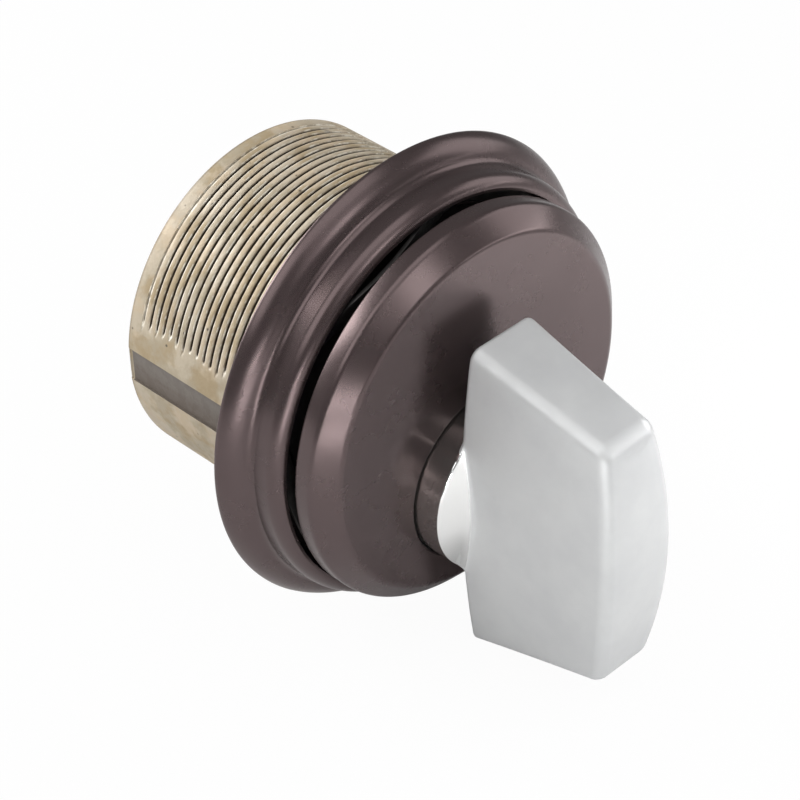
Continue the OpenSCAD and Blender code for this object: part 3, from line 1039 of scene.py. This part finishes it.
@dataclass
class Collar(Assembly):
    """Floating trim collar: foot band, rounded shoulder, cove and bead."""

    SLOT, BODY, NODE = Slot.BRONZE, Body.RING, "trim_ring"
    outer_r: float
    height: float
    bore_r: float = 14.72
    recess_r: float = 17.22
    bead_r: float = 18.27
    web: float = 1.8
    foot: float = 0.3
    shoulder_r: float = 2.4
    shoulder_sink: float = 0.7
    cove_r: float = 0.7
    crown_r: float = 1.15
    edge: float = 0.12
    columns: int = 288

    def build(self) -> Piece:
        """Builds the collar as a turned outline, whose cove touches the shoulder and the bead.

        Returns:
            The finished mesh object.
        """
        start = math.asin(self.shoulder_sink / self.shoulder_r)
        at = self.outer_r - self.shoulder_r * math.cos(start)
        lift = self.foot - self.shoulder_sink
        reach = self.shoulder_r + self.cove_r
        end = math.acos((self.bead_r + self.cove_r - at) / reach)
        cove = (self.bead_r + self.cove_r, lift + reach * math.sin(end))
        crown = (self.bead_r - self.crown_r, self.height - self.crown_r)
        bore_r, recess_r, web = self.bore_r, self.recess_r, self.web
        outline = [(bore_r, 0.0)]
        outline += rounded((self.outer_r, 0.0), (0, 0), (self.outer_r, self.foot), self.edge, 3)
        outline += arc((at, lift), self.shoulder_r, math.degrees(start), math.degrees(end), 20)
        outline += arc(cove, self.cove_r, 180 + math.degrees(end), 180, 12)[1:]
        outline += arc(crown, self.crown_r, 0, 90, 12)
        outline += rounded((recess_r, self.height), (self.bead_r, self.height), (recess_r, 0), self.edge, 3)
        outline += [(recess_r, web)]
        outline += rounded((bore_r, web), (recess_r, web), (bore_r, 0), self.edge, 3)
        return smooth(turned("trim_collar", outline, self.columns, closed=True), 34)


@dataclass
class WaveSpring(Assembly):
    """Closed wave spring of flat strip between the collar's web and the head's flange."""

    SLOT, BODY, NODE = Slot.SPRING, Body.HOUSING, "wave_spring"
    outer_r: float
    back: float
    front: float
    width: float = 1.6
    strip: float = 0.35
    edge: float = 0.06
    waves: int = 4
    seat: float = 5.6
    pressed_share: float = 0.41
    columns: int = 288

    def build(self) -> Piece:
        """Builds the spring as a closed wave of flat strip between its back and front.

        Returns:
            The finished mesh object.
        """
        swing = (self.front - self.back - self.strip) / 2
        inner, low = self.outer_r - self.width, self.back + swing
        high = low + self.strip
        corners = [(inner, low), (self.outer_r, low), (self.outer_r, high), (inner, high)]
        outline = []
        for i, corner in enumerate(corners):
            outline += rounded(corner, corners[i - 1], corners[(i + 1) % 4], self.edge, 2)
        loops = rings(outline, self.columns)
        wave = swing * np.sin(self.waves * np.arange(self.columns) * TAU / self.columns)
        for loop in loops:
            loop[:, 1] -= wave
        piece = smooth(new_object("wave_washer", *skin(loops, closed=True)), 50)
        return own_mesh(piece)


# ---- thumbturn ----


@dataclass
class Grip(Assembly):
    """Thumbturn casting: a rounded wedge blade that grows out of a round boss."""

    SLOT, BODY, NODE = Slot.SATIN, Body.TURN, "thumbturn"
    drop: float = TURN_DROP
    boss_r: float = 7.45
    boss_back: float = 5.05
    boss_edge: float = 0.15
    rim: float = BOSS_RIM
    cone_height: float = BOSS_CONE
    cone_tip_r: float = BOSS_TIP_R
    rim_round: float = 0.14
    back: float = 10.9
    back_half: float = 14.85
    back_t: float = 9.4
    back_end_t: float = 6.84
    crown: float = 25.6
    crown_r: float = 47.0
    front_half: float = 11.65
    front_t: float = 7.6
    front_end_t: float = 5.7
    front_bow: float = 0.1
    back_fillet: float = 0.45
    front_fillet: float = 1.0
    end_fillet: float = 1.0
    least_fillet: float = 0.25
    blend: float = 1.3
    blend_sink: float = 0.08
    tang: float = 5.0
    tang_length: float = 6.5
    tang_overlap: float = 0.5
    dimples: int = 4
    dimple_ring: float = DETENT_RING_R
    dimple_depth: float = 0.18
    ball_r: float = 0.8
    end_pull: float = 0.1
    side_points: int = 60
    corner_points: int = 8
    corner_sweep: float = 0.999
    cap_points: int = 4
    rows: int = 90
    cap_rows: int = 8
    back_fillet_rows: int = 5
    front_fillet_rows: int = 10

    def build(self) -> Piece:
        """Builds the casting.

        Returns:
            The finished mesh object.
        """
        piece = self._blade()
        combine(piece, self._boss(), "UNION")
        combine(piece, self._tang(), "UNION")
        for i in range(self.dimples):
            combine(piece, self._dimple(i * TAU / self.dimples), "DIFFERENCE")
        return smooth(piece, 34)

    def _section(self, depth: float, inset: float) -> np.ndarray:
        """Makes a section of the blade with round corners, as x and z.

        Args:
            depth: Its place from the back (0) to the crown (1), as a share.
            inset: How far it is moved in from the blade's full outline.

        Returns:
            The section's points, the same number whatever its size.
        """
        half = self.back_half + (self.front_half - self.back_half) * depth
        middle = (self.back_t + (self.front_t - self.back_t) * depth) / 2
        end = (self.back_end_t + (self.front_end_t - self.back_end_t) * depth) / 2
        top = half - inset
        corner = max(self.end_fillet - inset, self.least_fillet)
        turn = np.linspace(0, math.pi / 2, self.corner_points + 1)[1:] * self.corner_sweep
        straight = np.linspace(0, top - corner, self.side_points, endpoint=False)
        z = np.r_[straight, top - corner + corner * np.sin(turn)]
        wide = middle - (middle - end) * (z / half) ** 2 - inset
        wide[-len(turn):] -= corner * (1 - np.cos(turn))
        wide = np.clip(wide, 0, None)
        cap_x = np.linspace(wide[-1], 0, self.cap_points + 1)[1:]
        quarter = np.r_[np.c_[wide, z], np.c_[cap_x, np.full(self.cap_points, z[-1])]]
        left = quarter[::-1] * (-1, 1)
        upper = np.r_[quarter, left[1:]]
        lower = upper[::-1] * (1, -1)
        return np.r_[upper, lower[1:-1]]

    def _loop(self, depth: float, inset: float, share: float = 1.0) -> np.ndarray:
        """Makes one loop of the blade.

        Args:
            depth: Its place from the back (0) to the crown (1), as a share.
            inset: How far it is moved in from the blade's full outline.
            share: How much of its width is left, which closes the blade's ends.

        Returns:
            The loop's points.
        """
        flat = self._section(depth, inset) * (share, 1 - self.end_pull + self.end_pull * share)
        bow = self.front_bow * math.sqrt(1 - share ** 2) * depth
        x, z = flat[:, 0], flat[:, 1]
        front = self.crown - self.crown_r + np.sqrt(self.crown_r ** 2 - z ** 2)
        station = self.back * (1 - depth) + front * depth + bow
        return np.c_[self._flared(x, station, z), -station, z - self.drop]

    def _flared(self, x: np.ndarray, station: np.ndarray, z: np.ndarray) -> np.ndarray:
        """Widens the blade's sides where they grow out of the boss.

        Args:
            x: The loop's points across the blade.
            station: Their stations.
            z: Their heights above the turn axis.

        Returns:
            The new points across the blade.
        """
        slope = (self.boss_r - self.cone_tip_r) / self.cone_height
        radius = self.boss_r - np.clip(station - self.rim, 0, None) * slope
        reach = np.sqrt(np.clip(radius ** 2 - z ** 2, 0, None)) - self.blend_sink
        reach = np.where(radius > 0, reach, -self.blend)
        size = np.abs(x)
        overlap = np.clip(self.blend - np.abs(size - reach), 0, None) / self.blend
        grown = np.maximum(size, reach) + overlap ** 2 * self.blend / 4
        return np.where(size < self.back_end_t / 4, x, np.sign(x) * grown)

    def _blade(self) -> Piece:
        """Builds the wedge blade with its fillets and closed ends.

        Returns:
            The blade.
        """
        length = self.crown - self.back
        first = self.back_fillet / length
        last = 1 - self.front_fillet / length
        loops = [self._loop(0.0, self.back_fillet, i / self.cap_rows) for i in range(self.cap_rows)]
        for i in range(self.back_fillet_rows + 1):
            a = math.pi / 2 * i / self.back_fillet_rows
            loops.append(self._loop(first * (1 - math.cos(a)), self.back_fillet * (1 - math.sin(a))))
        loops += [self._loop(float(depth), 0.0) for depth in np.linspace(first, last, self.rows)[1:-1]]
        for i in range(self.front_fillet_rows + 1):
            a = math.pi / 2 * i / self.front_fillet_rows
            depth = last + self.front_fillet * math.sin(a) / length
            loops.append(self._loop(depth, self.front_fillet * (1 - math.cos(a))))
        loops += [self._loop(1.0, self.front_fillet, 1 - i / self.cap_rows)
                  for i in range(1, self.cap_rows + 1)]
        return new_object("turn_grip", *skin(loops, closed=False))

    def _boss(self) -> Piece:
        """Builds the round boss with its lens-like shoulder.

        Returns:
            The boss.
        """
        radius, back, edge = self.boss_r, self.boss_back, self.boss_edge
        tip = (self.cone_tip_r, self.rim + self.cone_height)
        outline = [(0.0, back), (radius - edge, back), (radius, back + edge)]
        outline += rounded((radius, self.rim), (radius, 0), tip, self.rim_round, 4)
        return turned("boss_tool", outline + [tip, (0.0, tip[1])], 192, self.drop)

    def _tang(self) -> Piece:
        """Builds the square tang behind the boss.

        Returns:
            The tang.
        """
        half = self.tang / 2
        ends = (self.tang_length - self.boss_back, -self.boss_back - self.tang_overlap)
        return block("tang_tool", (-half, half), ends, (-half - self.drop, half - self.drop))

    def _dimple(self, angle: float) -> Piece:
        """Builds the ball that presses one detent dimple into the boss's back.

        Args:
            angle: Where it stands round the turn axis.

        Returns:
            The ball.
        """
        middle = self.boss_back + self.dimple_depth - self.ball_r
        half = arc((0.0, middle), self.ball_r, -90, 90, 24)
        points, faces = skin(rings(half, 48, self.drop), closed=False)
        place = (self.dimple_ring * math.cos(angle), 0.0, self.dimple_ring * math.sin(angle))
        return new_object("dimple_tool", points + place, faces)


# ---- cam and its screws ----


@dataclass
class Cam(Assembly):
    """Stamped cam plate: the CAD solid with its flat faces joined and its edges rounded."""

    SLOT, BODY, NODE = Slot.CAM, Body.TURN, "cam"
    solid: Piece
    flat_angle: float = 0.5
    edge: float = 0.18
    edge_steps: int = 3
    edge_angle: float = 40.0

    def build(self) -> Piece:
        """Builds the plate.

        Returns:
            The finished mesh object.
        """
        source = self.solid.data
        points = np.array([vertex.co for vertex in source.vertices]) / MM
        piece = new_object("lock_cam", points, [tuple(face.vertices) for face in source.polygons])
        shape = bmesh.new()
        shape.from_mesh(piece.data)
        flat = math.radians(self.flat_angle)
        bmesh.ops.dissolve_limit(shape, angle_limit=flat, verts=shape.verts, edges=shape.edges)
        shape.to_mesh(piece.data)
        shape.free()
        bevel = piece.modifiers.new("edge", "BEVEL")
        bevel.width = self.edge * MM
        bevel.segments = self.edge_steps
        bevel.limit_method = "ANGLE"
        bevel.angle_limit = math.radians(self.edge_angle)
        settle(piece)
        return smooth(piece, 35)


@dataclass
class CamScrews(Assembly):
    """Pair of slotted cheese-head screws that hold the cam, copied onto two points."""

    SLOT, BODY, NODE = Slot.BRIGHT, Body.TURN, "cam_screws"
    head_end: float
    drop: float = TURN_DROP
    offset: float = 4.4
    head_r: float = 2.1
    head_height: float = 1.3
    slot_half: float = 0.35
    slot_depth: float = 0.65
    cut_past: float = 1.0
    shank_r: float = 1.2
    core_r: float = 1.0
    length: float = 7.0
    plain_length: float = 0.6
    tip_edge: float = 0.2
    pitch: float = 0.45
    edge: float = 0.18
    columns: int = 64

    def build(self) -> Piece:
        """Builds one screw and copies it to both places.

        Returns:
            The finished mesh object.
        """
        head_r, shank_r, core_r = self.head_r, self.shank_r, self.core_r
        top, seat = -self.head_end, -(self.head_end - self.head_height)
        tip = seat + self.length
        outline = [(0.0, top), *rounded((head_r, top), (0, top), (head_r, seat), self.edge, 4)]
        outline += [(head_r, seat), (shank_r, seat)]
        for i in range(int((self.length - 2 * self.plain_length) / self.pitch)):
            start = seat + self.plain_length + i * self.pitch
            outline += [(shank_r, start), (core_r, start + self.pitch / 2)]
        outline += [(core_r, tip - self.tip_edge), (core_r - self.tip_edge, tip), (0.0, tip)]
        piece = turned("cam_fasteners", outline, self.columns, self.drop)
        width, half = head_r + self.cut_past, self.slot_half
        ends = (self.cut_past - top, -top - self.slot_depth)
        slot = block("screw_slot_tool", (-width, width), ends, (-half - self.drop, half - self.drop))
        combine(piece, slot, "DIFFERENCE")
        self._copy(piece)
        return smooth(piece, 32)

    def _copy(self, piece: Piece) -> None:
        """Copies the screw onto a line of two points.

        Args:
            piece: The screw, which becomes the pair.
        """
        web = ShapeTree("Screw pair", {"Offset from middle": self.offset * MM})
        screw, offset = web.given[0], web.given[1]
        start, step = (web.join(X=web.times(offset, share)) for share in (-1.0, 2.0))
        line = web.add("GeometryNodeMeshLine", {"Count": 2, "Start Location": start, "Offset": step})
        copies = web.add("GeometryNodeInstanceOnPoints", {"Points": line.outputs[0], "Instance": screw})
        web.run(piece, copies.outputs[0], self.finishes.material(self.SLOT))


# ---- studio ----


def outward(azimuth: float, elevation: float) -> Vector:
    """Unit vector away from the object, at angles in degrees from the front and above the floor."""
    turn, lift = math.radians(azimuth), math.radians(elevation)
    return Vector((math.sin(turn) * math.cos(lift), -math.cos(turn) * math.cos(lift), math.sin(lift)))


@dataclass
class Lamp:
    """One soft square lamp, placed by its direction from what it looks at. Its lengths are in metres."""

    name: str
    azimuth: float
    elevation: float
    distance: float
    width: float
    power: float
    aim: tuple[float, float, float] = (0.0, 0.0, 0.0)

    def build(self) -> None:
        """Places the lamp at its distance from the point it looks at."""
        light = bpy.data.lights.new(self.name, "AREA")
        light.shape = "RECTANGLE"
        light.size = light.size_y = self.width
        light.energy = self.power
        lamp = bpy.data.objects.new(self.name, light)
        bpy.context.scene.collection.objects.link(lamp)
        away = outward(self.azimuth, self.elevation)
        lamp.location = Vector(self.aim) + away * self.distance
        lamp.rotation_euler = away.to_track_quat("Z", "Y").to_euler()


@dataclass
class Studio:
    """Pale floor, soft lamps and the camera."""

    azimuth: float = -44.93
    elevation: float = 36.58
    body_roll: float = 2.0
    distance: float = 230.0
    shift_right: float = 0.14
    shift_up: float = 2.73
    lens: float = 129.3
    sensor: float = 36.0
    near: float = 0.01
    floor_half: float = 900.0
    floor_colour: float = 0.6
    floor_glow: float = 0.96
    surround: float = 0.22
    lamps: list[Lamp] = field(default_factory=lambda: [
        Lamp("high left", -90.0, 50.0, 0.4, 0.26, 0.4),
        Lamp("rear left", -160.0, 25.0, 0.4, 0.26, 2.05),
        Lamp("right", 72.0, 22.0, 0.4, 0.24, 0.3),
        Lamp("front", 0.0, 45.0, 0.4, 0.26, 0.17),
        Lamp("small front", 8.0, 35.0, 0.4, 0.1, 0.1),
        Lamp("top", 0.0, 85.0, 0.4, 0.3, 0.4),
        Lamp("floor wash left", 0.0, 89.9, 0.042, 0.08, 0.6, (-0.1231, -0.1576, -0.022)),
        Lamp("floor wash right", 0.0, 89.9, 0.042, 0.08, 0.07, (0.0636, -0.0636, -0.022)),
    ])

    def build(self, low: Vector) -> None:
        """Builds everything round the object.

        Args:
            low: The object's lowest corner, in metres.
        """
        self._camera()
        self._world()
        self._floor(low.z / MM)
        for lamp in self.lamps:
            lamp.build()
        bpy.context.scene.view_settings.view_transform = "Standard"

    def _camera(self) -> None:
        """Places the camera, which looks down on the thumbturn from the front left."""
        back = outward(self.azimuth, self.elevation)
        turn = math.radians(self.azimuth)
        right = Vector((math.cos(turn), math.sin(turn), 0))
        up = back.cross(right)
        place = back * self.distance - right * self.shift_right - up * self.shift_up
        axes = Matrix((right, up, back)).transposed()
        roll = Matrix.Rotation(math.radians(self.body_roll), 3, "Y")
        lens = bpy.data.cameras.new("camera")
        lens.lens = self.lens
        lens.sensor_width = self.sensor
        lens.clip_start = self.near
        camera = bpy.data.objects.new("camera", lens)
        bpy.context.scene.collection.objects.link(camera)
        camera.matrix_world = Matrix.Translation(roll @ place * MM) @ (roll @ axes).to_4x4()
        bpy.context.scene.camera = camera

    def _world(self) -> None:
        """Builds a soft grey surround that the camera and glass see as white."""
        world = bpy.data.worlds.new("surround")
        bpy.context.scene.world = world
        world.use_nodes = True
        world.node_tree.nodes.clear()
        web = Web(world.node_tree)
        path = web.add("ShaderNodeLightPath").outputs
        seen = web.math("MAXIMUM", path["Is Camera Ray"], path["Is Transmission Ray"])
        strength = web.spread(seen, 0.0, 1.0, self.surround, 1.0)
        back = web.add("ShaderNodeBackground", {"Color": (1, 1, 1, 1), "Strength": strength})
        web.add("ShaderNodeOutputWorld", {"Surface": back.outputs[0]})

    def _floor(self, height: float) -> None:
        """Builds a plain white floor that keeps a faint shadow.

        Args:
            height: Where the floor lies.
        """
        sides = ((-1, -1), (1, -1), (1, 1), (-1, 1))
        corners = [(x * self.floor_half, y * self.floor_half, height) for x, y in sides]
        floor = new_object("floor", np.array(corners), [(0, 1, 2, 3)])
        web = Surface("White floor", {})
        matt = web.add("ShaderNodeBsdfDiffuse", {"Color": (*[self.floor_colour] * 3, 1)})
        glow = web.add("ShaderNodeEmission", {"Color": (1, 1, 1, 1), "Strength": 1.0})
        seen = web.times(web.add("ShaderNodeLightPath").outputs["Is Camera Ray"], self.floor_glow)
        mixed = web.add("ShaderNodeMixShader", {0: seen, 1: matt.outputs[0], 2: glow.outputs[0]})
        web.add("ShaderNodeOutputMaterial", {"Surface": mixed.outputs[0]})
        floor.data.materials.append(web.material)
        floor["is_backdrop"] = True


# ---- the whole part ----


KEPT_NODES = {
    "turn_bushing": Slot.PLASTIC,
    "detent_ball": Slot.BRIGHT,
    "detent_spring": Slot.SPRING,
    "thrust_washer": Slot.WASHER,
    "spindle": Slot.SPINDLE,
    "drag_ring": Slot.RUBBER,
    "centre_screw": Slot.BRIGHT,
    "split_washer": Slot.SPRING,
}


def dress_solid(node: str, solid: Piece, slot: Slot, finishes: Finishes) -> None:
    """Gives a CAD node that keeps its shape its finish.

    Args:
        node: The node's name.
        solid: Its object.
        slot: The finish it takes.
        finishes: The finishes of the whole part.
    """
    material = finishes.material(slot)
    for held in solid.material_slots:
        held.material = material
    if not solid.material_slots:
        solid.data.materials.append(material)
    LOG.info("%s: keeps its solid, finish %s", node, slot.value)


def span(node: str) -> tuple[float, float, float]:
    """Greatest x, rear station and front station of a CAD node, in millimetres."""
    low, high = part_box(node)
    return high.x / MM, -high.y / MM, -low.y / MM


def main() -> None:
    """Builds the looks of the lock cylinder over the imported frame."""
    logging.basicConfig(level=logging.INFO, format="%(name)s %(message)s")
    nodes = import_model()["nodes"]
    cad_low, cad_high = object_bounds()
    finishes = Finishes()

    _, body_rear, _ = span("cylinder_housing")
    face_r, face_rear, face_front = span("face_cap")
    collar_r, _, collar_front = span("trim_ring")
    _, screws_rear, _ = span("cam_screws")
    for assembly in (
        Housing(finishes, -body_rear),
        Face(finishes, face_r, face_front, face_rear),
        Collar(finishes, collar_r, collar_front),
        WaveSpring(finishes, *span("wave_spring")),
        Grip(finishes),
        Cam(finishes, nodes["cam"]),
        CamScrews(finishes, -screws_rear),
    ):
        assembly.dress()
    for node, slot in KEPT_NODES.items():
        dress_solid(node, nodes[node], slot, finishes)

    Studio().build(cad_low)


if __name__ == "__main__":
    main()
